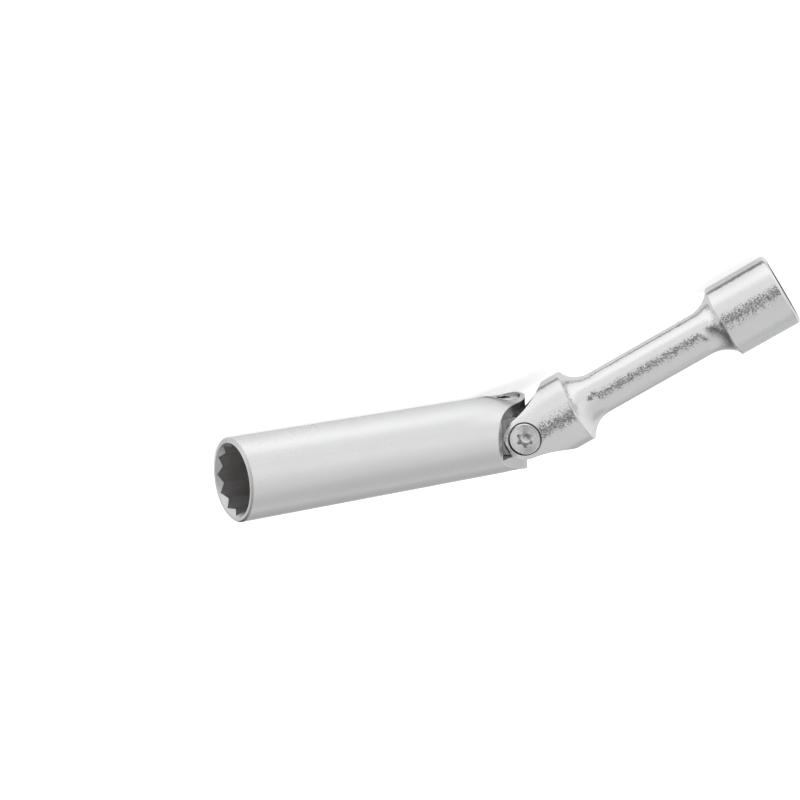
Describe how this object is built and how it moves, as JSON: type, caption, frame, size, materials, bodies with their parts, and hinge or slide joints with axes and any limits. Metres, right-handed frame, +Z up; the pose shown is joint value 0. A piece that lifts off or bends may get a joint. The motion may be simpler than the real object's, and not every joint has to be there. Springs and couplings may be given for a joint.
{
  "type": "spark plug socket",
  "caption": "Tubular spark plug socket with a bi-hex mouth and a ring magnet inside, joined by a screw-pivot link to a shank with a square drive head, so that it works at an angle.",
  "frame": {"origin": "centre of the drive square's mouth, on the flat end of the drive head", "axes": "+Z up from the surface that the part lies on; +X over the drive axis, out of the drive square; +Y completes a right-handed frame, towards the side that the tube's mouth is on"},
  "size_m": [0.1293, 0.0733, 0.0206],
  "materials": {
    "tube_chrome": "satin chrome plate, fine even blast",
    "shank_chrome": "satin chrome plate over a forged surface",
    "link_steel": "milled steel",
    "screw_steel": "turned and zinc plated",
    "magnet_nickel": "nickel plate"
  },
  "bodies": {
    "socket": {"socket_tube": "tube_chrome", "plug_magnet": "magnet_nickel"},
    "link": {"joint_link": "link_steel", "pivot_screws": "screw_steel"},
    "drive": {"drive_shank": "shank_chrome"}
  },
  "joints": [
    {"name": "fork_hinge", "type": "hinge", "parent": "socket", "child": "link", "pos_m": [-0.07413, 0.0012, 0.0006], "axis": [0.4465, 0.3771, -0.8114], "range_deg": [-1.3, 86.7]},
    {"name": "yoke_hinge", "type": "hinge", "parent": "link", "child": "drive", "pos_m": [-0.06894, 0, 0.0029], "axis": [0.0181, 0.9029, 0.4295], "range_deg": [-66.7, 9.3]}
  ]
}
